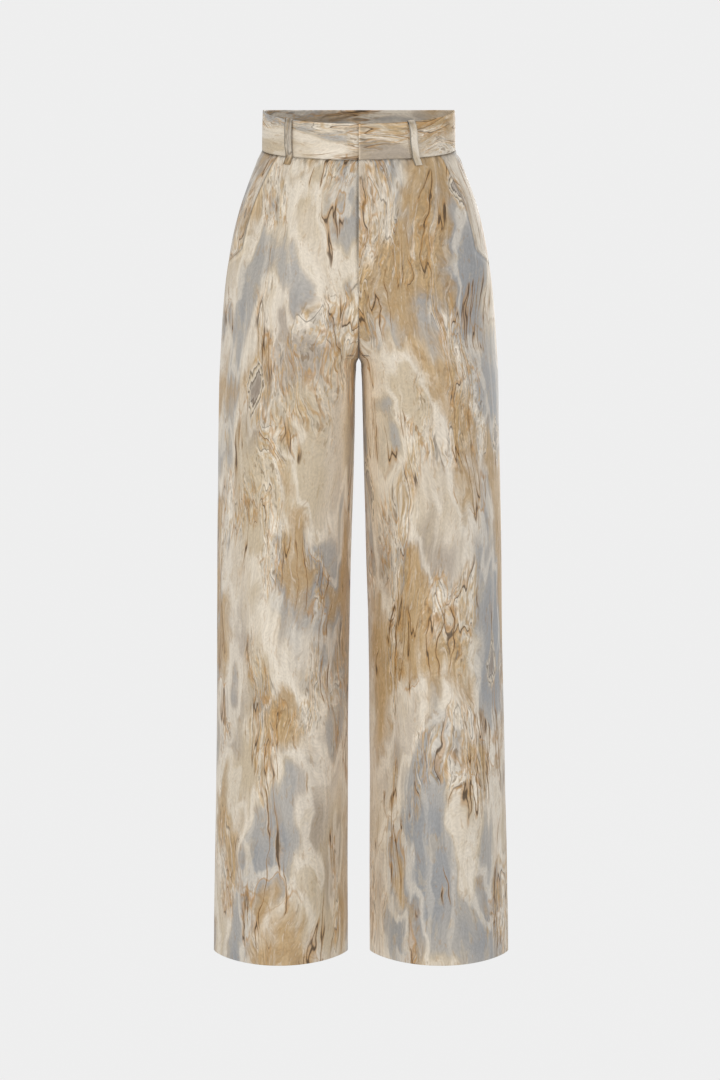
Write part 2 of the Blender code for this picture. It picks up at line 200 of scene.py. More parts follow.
legRings = (
    (0.320, 0.0002, 0.1800, 0.1166, 0.1247, 4.20, 0.50),
    (0.324, 0.0024, 0.1802, 0.1165, 0.1244, 4.20, 0.50),
    (0.335, 0.0034, 0.1807, 0.1162, 0.1236, 4.08, 0.50),
    (0.400, 0.0052, 0.1821, 0.1142, 0.1192, 3.10, 0.57),
    (0.517, 0.0082, 0.1842, 0.1115, 0.1150, 2.35, 0.67),
    (0.700, 0.0130, 0.1862, 0.1080, 0.1100, 2.00, 0.74),
    (0.832, 0.0143, 0.1886, 0.1065, 0.1075, 2.00, 0.75),
    (1.097, 0.0143, 0.1936, 0.1050, 0.1050, 2.00, 0.75),
)


def ease(share):
    share = np.clip(share, 0.0, 1.0)
    return share * share * (3.0 - 2.0 * share)


def ringSize(rings, names, column, level):
    # a column's value at a level, on a smooth curve through the rings
    levels = np.array([ring[0] for ring in rings])
    values = np.array([ring[names.index(column)] for ring in rings])
    slopes = np.gradient(values, levels)
    level = np.clip(level, levels[0], levels[-1])
    row = np.clip(np.searchsorted(levels, level) - 1, 0, len(levels) - 2)
    span = levels[row + 1] - levels[row]
    share = (level - levels[row]) / span
    rest = 1.0 - share
    return (values[row] * (1 + 2 * share) * rest**2 + slopes[row] * span * share * rest**2
            + values[row + 1] * (1 + 2 * rest) * share**2 - slopes[row + 1] * span * rest * share**2)


def bodySize(column, level):
    inBand = ringSize(bandRings, bodyNames, column, level)
    return np.where(level < form["bandHeight"], inBand, ringSize(bodyRings, bodyNames, column, level))


def legSize(column, level):
    return ringSize(legRings, legNames, column, level)


def bodyPoint(around, level):
    # around is in radians from the centre front, towards the wearer's left
    ahead, aside = np.cos(around), np.sin(around)
    reach = np.where(ahead > 0, bodySize("front", level), bodySize("back", level))
    dip = np.where(ahead > 0, bodySize("frontDip", level), bodySize("backDip", level))
    x = bodySize("halfWidth", level) * aside
    y = -np.sign(ahead) * reach * (1.0 - np.abs(aside) ** bodySize("power", level)) ** 0.5
    z = -level - dip * np.abs(ahead)
    return np.stack([x, y, z], axis=-1)


def legDepth(share, level):
    inner = (1.0 - np.abs(2 * share - 1) ** legSize("power", level)) ** legSize("pinch", level)
    outer = (1.0 - (2 * share - 1) ** 2) ** form["legPinch"]
    return np.where(share < 0.5, inner, outer)


def formPoint(side, half, across, level):
    # across runs from the centre or the inseam, 0, to the side seam, 1
    across, level = np.broadcast_arrays(across, level)
    rise = form["rise"]
    spread = ease((level - form["spreadStart"]) / (rise - form["spreadStart"]))
    bodyShare = np.sin(across * math.pi / 2)
    share = bodyShare + ((1.0 - np.cos(across * math.pi)) / 2 - bodyShare) * spread
    share = np.clip(share, 0.0, 1.0)
    around = np.arcsin(share)
    around = math.pi - around if half == backHalf else around
    body = bodyPoint(side * around, level)
    column = "front" if half == frontHalf else "back"
    depth = half * bodySize(column, level) * legDepth(share, level)
    height = form["crotchHeight"] + (form["partHeight"] - form["crotchHeight"]) * ease(2 * share)
    down = np.clip((level - rise + height) / height, 0.0, 1.0)
    seamCurve = 1.0 - np.sqrt(1.0 - down**2)
    parted = seamCurve + (ease(down) - seamCurve) * ease(share / form["crotchRound"])
    body[..., 1] += (depth - body[..., 1]) * parted
    swing = side * form["legSwing"] * ease((level - rise) / (form["outseam"] - rise))
    inseam = legSize("inseam", level)
    x = side * (inseam + (legSize("sideSeam", level) + swing - inseam) * share)
    y = half * legSize(column, level) * legDepth(share, level)
    leg = np.stack([x, y, -level], axis=-1)
    return np.where((level > rise)[..., None], leg, body)


gathers = (  # side, half, across, length, width, height: soft vertical gathers under the waistband
    (rightSide, frontHalf, 0.10, 0.060, 0.030, 1.1 * mm),
    (rightSide, frontHalf, 0.19, 0.095, 0.034, 1.5 * mm),
    (rightSide, frontHalf, 0.28, 0.070, 0.030, 1.2 * mm),
    (rightSide, frontHalf, 0.37, 0.115, 0.036, 1.7 * mm),
    (rightSide, frontHalf, 0.46, 0.070, 0.030, 1.0 * mm),
    (leftSide, frontHalf, 0.08, 0.085, 0.030, 1.3 * mm),
    (leftSide, frontHalf, 0.17, 0.060, 0.028, 1.0 * mm),
    (leftSide, frontHalf, 0.26, 0.110, 0.034, 1.6 * mm),
    (leftSide, frontHalf, 0.48, 0.090, 0.032, 1.3 * mm),
    (rightSide, backHalf, 0.20, 0.100, 0.055, 1.5 * mm),
    (rightSide, backHalf, 0.38, 0.120, 0.060, 1.8 * mm),
    (rightSide, backHalf, 0.78, 0.085, 0.055, 1.3 * mm),
    (leftSide, backHalf, 0.19, 0.110, 0.055, 1.6 * mm),
    (leftSide, backHalf, 0.37, 0.090, 0.060, 1.4 * mm),
    (leftSide, backHalf, 0.77, 0.105, 0.055, 1.6 * mm),
)

folds = (  # side, half, across at the top and at the foot, top, foot, width, height (below 0 is a trough)
    (rightSide, frontHalf, 0.70, 0.70, 0.42, 0.86, 0.11, -2.2 * mm),
    (leftSide, frontHalf, 0.27, 0.27, 0.46, 0.92, 0.10, -2.0 * mm),
    (rightSide, backHalf, 0.34, 0.34, 0.33, 0.70, 0.12, -4.0 * mm),
    (rightSide, backHalf, 0.72, 0.72, 0.50, 1.00, 0.12, -3.0 * mm),
    (leftSide, backHalf, 0.36, 0.36, 0.34, 0.76, 0.12, -3.6 * mm),
    (leftSide, backHalf, 0.70, 0.70, 0.46, 0.94, 0.13, -3.2 * mm),
    (rightSide, frontHalf, 0.30, 0.40, 0.10, 0.31, 0.050, 1.3 * mm),
    (rightSide, frontHalf, 0.52, 0.60, 0.062, 0.20, 0.030, 1.6 * mm),
    (rightSide, frontHalf, 0.10, 0.30, 0.27, 0.40, 0.040, -1.2 * mm),
    (rightSide, frontHalf, 0.40, 0.52, 0.36, 0.70, 0.060, 1.4 * mm),
    (rightSide, frontHalf, 0.18, 0.30, 0.62, 1.02, 0.060, 1.2 * mm),
    (rightSide, frontHalf, 0.82, 0.78, 0.55, 1.04, 0.050, 1.1 * mm),
    (leftSide, frontHalf, 0.36, 0.42, 0.055, 0.17, 0.024, 2.0 * mm),
    (leftSide, frontHalf, 0.33, 0.44, 0.12, 0.33, 0.050, 1.2 * mm),
    (leftSide, frontHalf, 0.10, 0.26, 0.275, 0.41, 0.040, -1.2 * mm),
    (leftSide, frontHalf, 0.50, 0.62, 0.38, 0.74, 0.060, 1.4 * mm),
    (leftSide, frontHalf, 0.74, 0.70, 0.60, 1.03, 0.055, 1.3 * mm),
    (leftSide, frontHalf, 0.14, 0.20, 0.70, 1.05, 0.050, 1.0 * mm),
    (rightSide, backHalf, 0.12, 0.42, 0.28, 0.43, 0.050, -2.4 * mm),
    (rightSide, backHalf, 0.20, 0.52, 0.31, 0.49, 0.045, 1.8 * mm),
    (rightSide, backHalf, 0.52, 0.50, 0.42, 0.90, 0.060, 1.8 * mm),
    (rightSide, backHalf, 0.22, 0.26, 0.66, 1.06, 0.055, 1.4 * mm),
    (leftSide, backHalf, 0.14, 0.46, 0.285, 0.45, 0.052, -2.2 * mm),
    (leftSide, backHalf, 0.22, 0.50, 0.315, 0.47, 0.045, 1.6 * mm),
    (leftSide, backHalf, 0.55, 0.52, 0.40, 0.84, 0.060, 1.7 * mm),
    (leftSide, backHalf, 0.20, 0.25, 0.70, 1.07, 0.055, 1.5 * mm),
)

waistSeam = dict(draw=0.9 * mm, drawReach=14 * mm, shade=0.55, shadeWidth=1.3 * mm)

puckers = dict(  # the short fine gathers that the waist seam draws up
    start=4 * mm, end=0.20, spacing=8.4 * mm, unevenSpacing=0.7, lean=0.12, seed=11,
    length=(10 * mm, 36 * mm), width=(1.8 * mm, 3.0 * mm), height=(0.45 * mm, 1.25 * mm),
    tuckBeside=1.5, tuckWidth=1.7 * mm, tuckShade=1.00, tuckLength=0.6, crestLight=0.34, lightLength=0.8,
)

waves = dict(size=0.9 * mm, seed=40, fadeAtHem=0.05, fadeAtWaist=0.02, across=(8, 34), down=(3, 15))


def darkened(shade, amount):
    # lays a shadow over what is there; a shade below 0 is a light
    return shade + amount * (1.0 - np.clip(shade, 0.0, 1.0))


def bell(distance, width):
    return np.exp(-((distance / width) ** 2))


def softWaves(seed, place, down, size, count=7):
    # a gentle unevenness: a few long waves of mixed lengths, size metres high at most
    random = np.random.default_rng(seed)
    total = np.zeros(np.broadcast(place, down).shape)
    for _ in range(count):
        acrossWave, downWave = random.uniform(*waves["across"]), random.uniform(*waves["down"])
        total = total + np.sin(place * acrossWave * 2 + down * downWave * 2 + random.uniform(0, 2 * math.pi))
    return total * size / count


def relief(side, half, across, level, fromCentre):
    # how far the cloth stands out of the smooth form, and the painted shade of its waist seam and tight tucks, with
    # painted highlights on the crests
    belowSeam = level - form["bandHeight"]
    height = -waistSeam["draw"] * (1.0 - ease(belowSeam / waistSeam["drawReach"]))
    for foldSide, foldHalf, place, length, width, size in gathers:
        if (foldSide, foldHalf) == (side, half):
            height = height + size * bell(across - place, width) * ease(1.0 - belowSeam / length)
    for foldSide, foldHalf, topPlace, footPlace, top, foot, width, size in folds:
        if (foldSide, foldHalf) == (side, half):
            along = np.clip((level - top) / (foot - top), 0.0, 1.0)
            place = topPlace + (footPlace - topPlace) * along
            height = height + size * bell(across - place, width) * np.sin(math.pi * along) ** 2
    random = np.random.default_rng(puckers["seed"] + 2 * side + half)
    place = puckers["start"]
    shade = waistSeam["shade"] * bell(belowSeam, waistSeam["shadeWidth"])
    while place < puckers["end"]:
        length, width = random.uniform(*puckers["length"]), random.uniform(*puckers["width"])
        size = random.uniform(*puckers["height"])
        lean = random.uniform(-puckers["lean"], puckers["lean"])
        offCrest = fromCentre - place - lean * belowSeam
        crest = bell(offCrest, width)
        height = height + size * crest * ease(1.0 - belowSeam / length)
        tuck = bell(offCrest - puckers["tuckBeside"] * width, puckers["tuckWidth"])
        tuck = tuck * ease(1.0 - belowSeam / (puckers["tuckLength"] * length))
        strength = size / puckers["height"][1]
        shade = darkened(shade, puckers["tuckShade"] * strength * tuck)
        light = crest * ease(1.0 - belowSeam / (puckers["lightLength"] * length))
        shade = shade - puckers["crestLight"] * strength * light
        place += puckers["spacing"] * (1 + puckers["unevenSpacing"] * random.uniform(-1, 1))
    calm = ease((form["outseam"] - level) / waves["fadeAtHem"]) * ease(belowSeam / waves["fadeAtWaist"])
    soft = softWaves(waves["seed"] + 3 * side + half, fromCentre, level, waves["size"])
    return height + soft * calm, shade


cloth = dict(
    thickness=0.9 * mm, hemTurnUp=26 * mm, hemExtra=0.8 * mm, edgeRound=0.9 * mm, edgeKeep=0.3,
    seamHalfGap=0.06 * mm, seamShade=0.5, seamShadeWidth=1.0 * mm, rowStep=4.2 * mm, columns=96, flyColumns=24,
)

grainLine = dict(waist=0.070, hem=0.105, ease=0.5)  # metres from the centre


def lengthAlong(points, axis):
    # metres from the first point, along the rows or the columns
    steps = np.linalg.norm(np.diff(points, axis=axis), axis=-1)
    start = np.zeros_like(np.take(steps, [0], axis=axis))
    return np.concatenate([start, np.cumsum(steps, axis=axis)], axis=axis)


def unit(vectors):
    return vectors / np.linalg.norm(vectors, axis=-1, keepdims=True)


def facingOut(points, turn):
    along = np.gradient(points, axis=1)
    down = np.gradient(points, axis=0)
    return unit(np.cross(along, down) * turn)


def edgeSpaced(count, dense=0):
    # shares from 0 to 1, close together at both ends, where the cloth's edge rounds over
    near = [0.0, 0.0011, 0.0028, 0.0060]
    start = np.linspace(0.010, 0.080, dense, endpoint=False)  # the fly needs finer columns
    middle = np.linspace(0.080 if dense else 0.012, 0.988, count)
    return np.concatenate([near, start, middle, 1.0 - np.array(near[::-1])])


def roundedHalf(thickness, *distances):
    # half the cloth's thickness, less near the free edges
    half = thickness / 2
    for distance in distances:
        near = 1.0 - np.clip(distance / cloth["edgeRound"], 0.0, 1.0)
        half = half * np.maximum(np.sqrt(1.0 - near**2), cloth["edgeKeep"])
    return half


def clothShell(name, node, outer, inner, flat, shade, materials, held="hung"):
    # a slab, a face for each cell of the points, dropped onto its outer and inner points
    rows, columns = outer.shape[0] - 1, outer.shape[1] - 1
    slab = bmesh.new()
    bmesh.ops.create_grid(slab, x_segments=columns, y_segments=rows, size=0.5)
    extruded = bmesh.ops.extrude_face_region(slab, geom=slab.faces[:])
    top = [part for part in extruded["geom"] if isinstance(part, bmesh.types.BMVert)]
    bmesh.ops.translate(slab, vec=(0, 0, 1), verts=top)
    bmesh.ops.recalc_face_normals(slab, faces=slab.faces[:])
    for face in slab.faces:
        face.material_index = 1 if len(materials) > 1 and face.normal.z < -0.5 else 0
    piece = finishObject(name, slab, materials)
    mesh = piece.data
    place = np.zeros(len(mesh.vertices) * 3)
    mesh.vertices.foreach_get("co", place)
    place = place.reshape(-1, 3)
    column = np.rint((place[:, 0] + 0.5) * columns).astype(int)
    row = np.rint((place[:, 1] + 0.5) * rows).astype(int)
    onTop = place[:, 2] > 0.5
    bent = np.where(onTop[:, None], outer[row, column], inner[row, column])
    mesh.vertices.foreach_set("co", bent.ravel())
    corner = np.zeros(len(mesh.loops), dtype=int)
    mesh.loops.foreach_get("vertex_index", corner)
    layer = mesh.uv_layers.new(name="cloth")  # metres on the flat cloth
    layer.data.foreach_set("uv", flat[row, column][corner].ravel())
    paintedShadeAndLight = mesh.attributes.new("paintedShadeAndLight", "FLOAT", "POINT")  # painted shadow in gaps finer than the mesh, and below 0 a painted highlight on crests and edges
    paintedShadeAndLight.data.foreach_set("value", np.where(onTop, shade[row, column], 0.0))
    mesh.update()
    check = bmesh.new()
    check.from_mesh(mesh)
    if check.calc_volume(signed=True) < 0:
        mesh.flip_normals()
    check.free()
    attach(piece, "root")
    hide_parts(node)


def flatCloth(points, grainColumn=None):
    # each point's place on the flat cloth: across from the grain line, and down from the top
    across, down = lengthAlong(points, 1), lengthAlong(points, 0)
    if grainColumn is not None:
        across = across - across[:, [grainColumn]]
        return np.stack([across, np.broadcast_to(down[:, [grainColumn]], across.shape)], axis=-1)
    top, foot = points[0, 0, 2], points[-1, 0, 2]
    grainPoints = []
    for row, line in enumerate(points):  # the grain runs straight down, a little outwards to the hem's middle
        share = (top - line[0, 2]) / (top - foot)
        grain = grainLine["waist"] + (grainLine["hem"] - grainLine["waist"]) * share ** grainLine["ease"]
        grainPoints.append([np.interp(grain, np.abs(line[:, 0]), line[:, axis]) for axis in range(3)])
        across[row] -= np.interp(grain, np.abs(line[:, 0]), across[row])
    down = lengthAlong(np.array(grainPoints), 0)[:, None]
    return np.stack([across, np.broadcast_to(down, across.shape)], axis=-1)


def panelLevels():
    start, foot = form["bandHeight"] + 0.1 * mm, form["outseam"]
    count = int((foot - start) / cloth["rowStep"])
    shares = np.linspace(0, 1, count)
    levels = start + (foot - start) * (0.82 * shares + 0.18 * shares**2)  # closer under the waist
    near = np.array([2.6, 1.2, 0.5, 0.0]) * mm
    nearTurnUp = foot - cloth["hemTurnUp"] + np.array([-1.0, 0.0, 1.0]) * mm
    rise = form["rise"]
    nearCrotch = rise + np.array([-9, -6, -4, -2.5, -1.2, -0.4, 0.0, 0.4, 1.2, 2.5, 4, 6]) * mm
    nearFlyFoot = fly["creaseTop"] + np.arange(0, 14, 1.4) * mm
    return np.unique(np.concatenate([levels[:-2], foot - near, nearTurnUp, nearCrotch, nearFlyFoot]))


fly = dict(
    foot=0.226, taper=0.016, lap=0.010, lift=1.4 * mm, clear=0.5 * mm, reach=0.030, sinkStart=0.018, sinkWidth=0.011,
    groovePlace=-1.4 * mm, grooveWidth=2.2 * mm, grooveDepth=2.4 * mm, uneven=0.35,
    shade=1.1, shadePlace=0.5 * mm, shadeWidth=1.2 * mm, seamShade=0.2,
    creaseTop=0.2225, creaseDrop=0.0145, creaseStart=0.9 * mm, creaseReach=11.5 * mm,
    creaseWidth=1.4 * mm, creaseDepth=0.8 * mm, creaseShade=0.85,
)

pocket = dict(
    top=0.622, foot=0.705, bend=0.178, end=0.208, under=0.06, lift=0.6 * mm, lip=0.5 * mm, lipReach=0.014,
    fade=0.16, facingDrop=0.020, facingFold=0.95, facingClear=0.6 * mm, hiddenColumns=10, shownColumns=40,
    sink=0.3 * mm, sinkReach=0.02, sinkFade=0.25, shade={rightSide: 1.2, leftSide: 0.65}, shadeFade=0.10,
    shadeWidth=3.2 * mm, edgeShade=1.1 * mm, lipLight=0.30, lightPlace=2.6 * mm, lightWidth=1.6 * mm,
    alongForm=0.2, fromFront=0.13,  # metres to a share across, round the form and as seen from the front
)

innerEdge = dict(  # painted highlight on the legs' inner edges, so that they stay as light as the rest, less towards the hem
    light=0.57, fade=0.45, fadeStart=0.33, fadeLength=0.40, width=0.016, early=4 * mm, ramp=8 * mm,
)


def pocketEdge(level):
    # where the pocket's mouth crosses a level: 1 is the side seam
    down = np.clip((level - form["bandHeight"]) / (pocket["bend"] - form["bandHeight"]), 0, 1)
    edge = pocket["top"] + (pocket["foot"] - pocket["top"]) * np.sin(down * math.pi / 2)
    return edge + (1.0 - edge) * ease((level - pocket["bend"]) / (pocket["end"] - pocket["bend"]))


def mouthUpright(level):
    # 1 where the pocket's mouth runs upright, less where it turns across to the side seam
    slope = (pocketEdge(level + mm) - pocketEdge(level - mm)) / (2 * mm) * pocket["alongForm"]
    return 1.0 / np.sqrt(1.0 + slope**2)


def sewn(points, side, half, lap):
    # keeps the cloth just clear of the planes of the seams
    points[..., 0] = side * np.maximum(side * points[..., 0], cloth["seamHalfGap"] - lap)
    points[..., 1] = half * np.maximum(half * points[..., 1], cloth["seamHalfGap"])
    return points


def panelShell(side, half, level, base, height, lap=0.0):
    # the outer and inner points of a panel, and their places on the flat cloth
    facing = facingOut(base, side * half)
    crotch = level < form["rise"] + 0.01 * mm
    facing[:, 0, 0] = np.where(crotch[:, 0], 0.0, facing[:, 0, 0])
    facing[:, 0, 1] = np.where(crotch[:, 0], facing[:, 0, 1], 0.0)
    facing[-1, :, 2] = 0.0
    facing = unit(facing)
    fromInner = lengthAlong(base, 1)
    fromOuter = fromInner[:, [-1]] - fromInner
    fromHem = form["outseam"] - level
    halfThick = roundedHalf(cloth["thickness"], fromInner, fromOuter, fromHem)
    middle = height - cloth["thickness"] / 2
    turnUp = cloth["hemExtra"] * ease((cloth["hemTurnUp"] - fromHem) / mm) * ease(fromHem / (2 * mm))
    outer = sewn(base + facing * (middle + halfThick)[..., None], side, half, lap)
    inner = sewn(base + facing * (middle - halfThick - turnUp)[..., None], side, half, lap)
    return outer, inner, flatCloth(outer)


def makeFront(side):
    level = panelLevels()[:, None]
    share = edgeSpaced(cloth["columns"], cloth["flyColumns"])[None, :]
    edge = pocketEdge(level)
    across = share * edge
    base = formPoint(side, frontHalf, across, level)
    level = np.broadcast_to(level, across.shape)
    fromCentre = np.abs(base[..., 0])
    height, shade = relief(side, frontHalf, across, level, fromCentre)
    toMouth, mouthOpen = edge - across, ease((1.0 - edge) / pocket["fade"])
    height = height + pocket["lift"] * mouthOpen * ease(1.0 - toMouth / pocket["under"])
    height = height + pocket["lip"] * mouthOpen * bell(toMouth, pocket["lipReach"])
    upright = mouthUpright(level)
    fromMouth = toMouth * pocket["fromFront"] * upright
    shade = shade - pocket["lipLight"] * mouthOpen * bell(fromMouth - pocket["lightPlace"], pocket["lightWidth"])
    ownEdge = pocket["shade"][side] * mouthOpen * upright**2
    shade = darkened(shade, ownEdge * bell(fromMouth, pocket["edgeShade"]))
    onFly = 1.0 - ease((level - fly["foot"]) / fly["taper"])
    lap = 0.0
    if side == leftSide:
        height = height + fly["lift"] * onFly * ease((fly["reach"] - fromCentre) / (fly["reach"] - fly["lap"]))
    else:
        lap = fly["lap"] * (1.0 - ease((level - fly["foot"] + fly["taper"]) / fly["taper"]))
        base[..., 0] += lap * ease(1.0 - fromCentre / fly["reach"])
        sink = cloth["thickness"] + fly["clear"] - fly["lift"]
        height = height - sink * onFly * ease((base[..., 0] + fly["sinkStart"]) / fly["sinkWidth"])
        fromGroove = base[..., 0] - fly["groovePlace"]
        wavering = np.sin(level * 61 + 1.0) * np.sin(level * 23)
        uneven = onFly * (1.0 - fly["uneven"] + fly["uneven"] * wavering)
        height = height - fly["grooveDepth"] * uneven * bell(fromGroove, fly["grooveWidth"])
        shade = darkened(shade, fly["shade"] * uneven * bell(fromGroove - fly["shadePlace"], fly["shadeWidth"]))
        along = (level - fly["creaseTop"]) / fly["creaseDrop"]
        fromCrease = np.abs(base[..., 0]) - fly["creaseStart"] - fly["creaseReach"] * along
        crease = ease(along / 0.2) * ease((1.0 - along) / 0.5) * bell(fromCrease, fly["creaseWidth"])
        height = height - fly["creaseDepth"] * crease
        shade = darkened(shade, fly["creaseShade"] * crease)
    outer, inner, flat = panelShell(side, frontHalf, level, base, height, lap)
    # painted highlight along the legs' inner edges, against the shade between the legs
    onLeg = ease((level - form["rise"] + innerEdge["early"]) / innerEdge["ramp"])
    fade = innerEdge["fade"] * ease((level - innerEdge["fadeStart"]) / innerEdge["fadeLength"])
    shade = shade - onLeg * (innerEdge["light"] - fade) * bell(fromCentre - fromCentre[:, [0]], innerEdge["width"])
    below = ease((level - fly["foot"]) / 0.01) * (level < form["rise"])
    shade = darkened(shade, fly["seamShade"] * below * bell(fromCentre, cloth["seamShadeWidth"]))  # under the fly
    return outer, inner, flat, shade


def makeBack(side):
    level = panelLevels()[:, None]
    across = edgeSpaced(cloth["columns"])[None, :]
    base = formPoint(side, backHalf, across, level)
    level = np.broadcast_to(level, base.shape[:2])
    across = np.broadcast_to(across, base.shape[:2])
    fromCentre = np.abs(base[..., 0])
    height, shade = relief(side, backHalf, across, level, fromCentre)
    onBody = level < form["rise"]
    shade = darkened(shade, cloth["seamShade"] * onBody * bell(fromCentre, cloth["seamShadeWidth"]))
    outer, inner, flat = panelShell(side, backHalf, level, base, height)
    return outer, inner, flat, shade


def makeFacing(side):
    # the pocket's facing: under the front's edge at the mouth, level with the back at the side seam
    levels = panelLevels()
    level = levels[levels < pocket["end"] + pocket["facingDrop"]][:, None]
    edge = pocketEdge(level)
    fold = np.minimum(edge, pocket["facingFold"])
    hidden = np.linspace(0, 1, pocket["hiddenColumns"], endpoint=False)[None, :]
    inSight = np.linspace(0, 1, pocket["shownColumns"])[None, :] ** 1.8  # closer together at the mouth
    across = np.concatenate([fold - pocket["under"] * (1 - hidden), fold + (1 - fold) * inSight], axis=1)
    level = np.broadcast_to(level, across.shape)
    base = formPoint(side, frontHalf, across, level)
    shown = np.maximum(1.0 - edge, 0.0001)
    wide = ease(shown / pocket["sinkFade"])
    under = 1.0 - ease((across - edge) / shown) * wide
    height, shade = relief(side, frontHalf, across, level, np.abs(base[..., 0]))
    height = height - (cloth["thickness"] + pocket["facingClear"]) * under
    height = height - pocket["sink"] * bell(across - edge, pocket["sinkReach"]) * wide
    upright = mouthUpright(level)
    fromMouth = np.clip((across - edge) * pocket["fromFront"] * upright, 0.0, None)
    strength = pocket["shade"][side] * ease(shown / pocket["shadeFade"]) * (0.3 + 0.7 * upright)
    shade = darkened(shade, strength * bell(fromMouth, pocket["shadeWidth"]))
    outer, inner, flat = panelShell(side, frontHalf, level, base, height)
    return outer, inner, flat, shade


band = dict(
    thickness=2.2 * mm, lap=0.032, columns=420, topRound=1.1 * mm, topKeep=0.3, endRound=1.0 * mm, endKeep=0.35,
    clear=0.5 * mm, sinkStart=0.016, sinkLength=0.014, waveSize=0.55 * mm, waveCount=9, waveSeed=5,
    underlapPlace=-0.018, underlapRidge=0.8 * mm, underlapWidth=2.2 * mm,
    seamShade=0.30, seamShadeWidth=1.2 * mm, lapShade=0.55, lapShadeBefore=0.8 * mm, lapShadeWidth=1.1 * mm,
    endLight=0.85, endLightWidth=1.6 * mm,
    ends=(0.0, 0.0008, 0.0020, 0.0045), endStart=0.012,  # radians from either end, closer together there
    rows=(0.0, 0.25, 0.7, 1.3, 2.4, 5, 9, 13, 17, 21, 25, 29, 33, 37, 41, 45, 48, 49.6, 50.4, 51.0),  # mm down
)


def bandAhead(around, level):
    step = 0.004
    return bodyPoint(around + step, level) - bodyPoint(around - step, level)


def bandFacing(around, level):
    ahead = bandAhead(around, level)
    return unit(np.stack([ahead[..., 1], -ahead[..., 0], np.zeros_like(ahead[..., 0])], axis=-1))


def makeBand():
    halfWidth = bandRings[0][1]
    sweep = 2 * math.pi + math.asin(band["lap"] / halfWidth)
    ends = np.array(band["ends"])
    middle = np.linspace(band["endStart"], sweep - band["endStart"], band["columns"])
    around = np.concatenate([ends, middle, sweep - ends[::-1]])[None, :]
    height = form["bandHeight"]
    around, level = np.broadcast_arrays(around, np.array(band["rows"])[:, None] * mm)
    base = bodyPoint(around, level)
    facing = bandFacing(around, level)
    beforeEnd = (2 * math.pi - around) * halfWidth
    sink = (band["thickness"] + band["clear"]) * ease((band["sinkStart"] - beforeEnd) / band["sinkLength"])
    arc = around * halfWidth
    wave = softWaves(band["waveSeed"], arc, level * 3, band["waveSize"], band["waveCount"])
    wave = wave * ease(level / 0.012) * ease((height - level) / 0.008)
    ridgePlace = 2 * math.pi * halfWidth + band["underlapPlace"]
    wave = wave + band["underlapRidge"] * bell(arc - ridgePlace, band["underlapWidth"])
    near = 1.0 - np.clip(np.minimum(level, height - level) / band["topRound"], 0, 1)
    halfThick = band["thickness"] / 2 * np.maximum(np.sqrt(1 - near**2), band["topKeep"])
    near = 1.0 - np.clip(np.minimum(arc, sweep * halfWidth - arc) / band["endRound"], 0, 1)
    halfThick = halfThick * np.maximum(np.sqrt(1 - near**2), band["endKeep"])
    middle = -band["thickness"] / 2 - sink + wave
    outer = base + facing * (middle + halfThick)[..., None]
    inner = base + facing * (middle - halfThick)[..., None]
    shade = band["seamShade"] * bell(height - level, band["seamShadeWidth"])
    fromEnd = arc - 2 * math.pi * halfWidth
    shade = darkened(shade, band["lapShade"] * bell(fromEnd + band["lapShadeBefore"], band["lapShadeWidth"]))
    shade = shade - band["endLight"] * bell(arc, band["endLightWidth"])
    flat = flatCloth(base, int(np.argmin(np.abs(around[0] - math.pi / 2))))  # its full height is at the sides
    flat[..., 0] -= flat[0, 0, 0]
    return outer, inner, flat, shade


loops = (  # node, degrees round from the centre front, lean, wave, reach over the band's edge, cut, depth of colour
    ("belt_loop_front_left", 33.6, 0.006, 0.9 * mm, 1.0 * mm, (1.418, 0.885), 0.95),
    ("belt_loop_front_right", -45.0, 0.002, 0.3 * mm, 1.0 * mm, (0.263, 0.28), 0.74),
    ("belt_loop_back_left", 128.0, 0.001, 0.4 * mm, -0.6 * mm, (5.94, 0.9), 0.86),
    ("belt_loop_back_centre", 180.0, 0.000, -0.3 * mm, -0.6 * mm, (6.31, 0.9), 0.86),
    ("belt_loop_back_right", 232.0, -0.001, 0.5 * mm, -0.6 * mm, (6.68, 0.9), 0.86),
)
strap = dict(
    width=11 * mm, thickness=1.3 * mm, slack=3.0 * mm, tab=11 * mm, clear=0.6 * mm, columns=14, rows=96,
    crown=0.12 * mm,  # the folded strap is a little fuller in the middle
    overShade=0.5, overShadeWidth=2.5 * mm,
    edgeShades=((-1, 0.66, 1.10), (1, 0.74, 0.45)),  # which edge, where it starts, strength: painted shadow along the strap's edges, stronger on one side as if lit from the other
)


def strapPath(over):
    # (level, distance off the band) from over the top edge down to the tab
    onCloth, standing = strap["clear"] + strap["thickness"] / 2, strap["slack"] + strap["thickness"] / 2
    foot = form["bandHeight"]
    return np.array((
        (-over, -1.2 * mm), (-over, onCloth * 0.4), (1.2 * mm, onCloth + 0.4 * mm), (7.5 * mm, standing * 0.8),
        (16 * mm, standing), (28 * mm, standing), (38 * mm, standing * 0.9), (46 * mm, onCloth + 0.9 * mm),
        (foot + 1 * mm, onCloth + 0.6 * mm), (foot + 5 * mm, onCloth + 0.3 * mm),
        (foot + strap["tab"], onCloth + 0.2 * mm)))


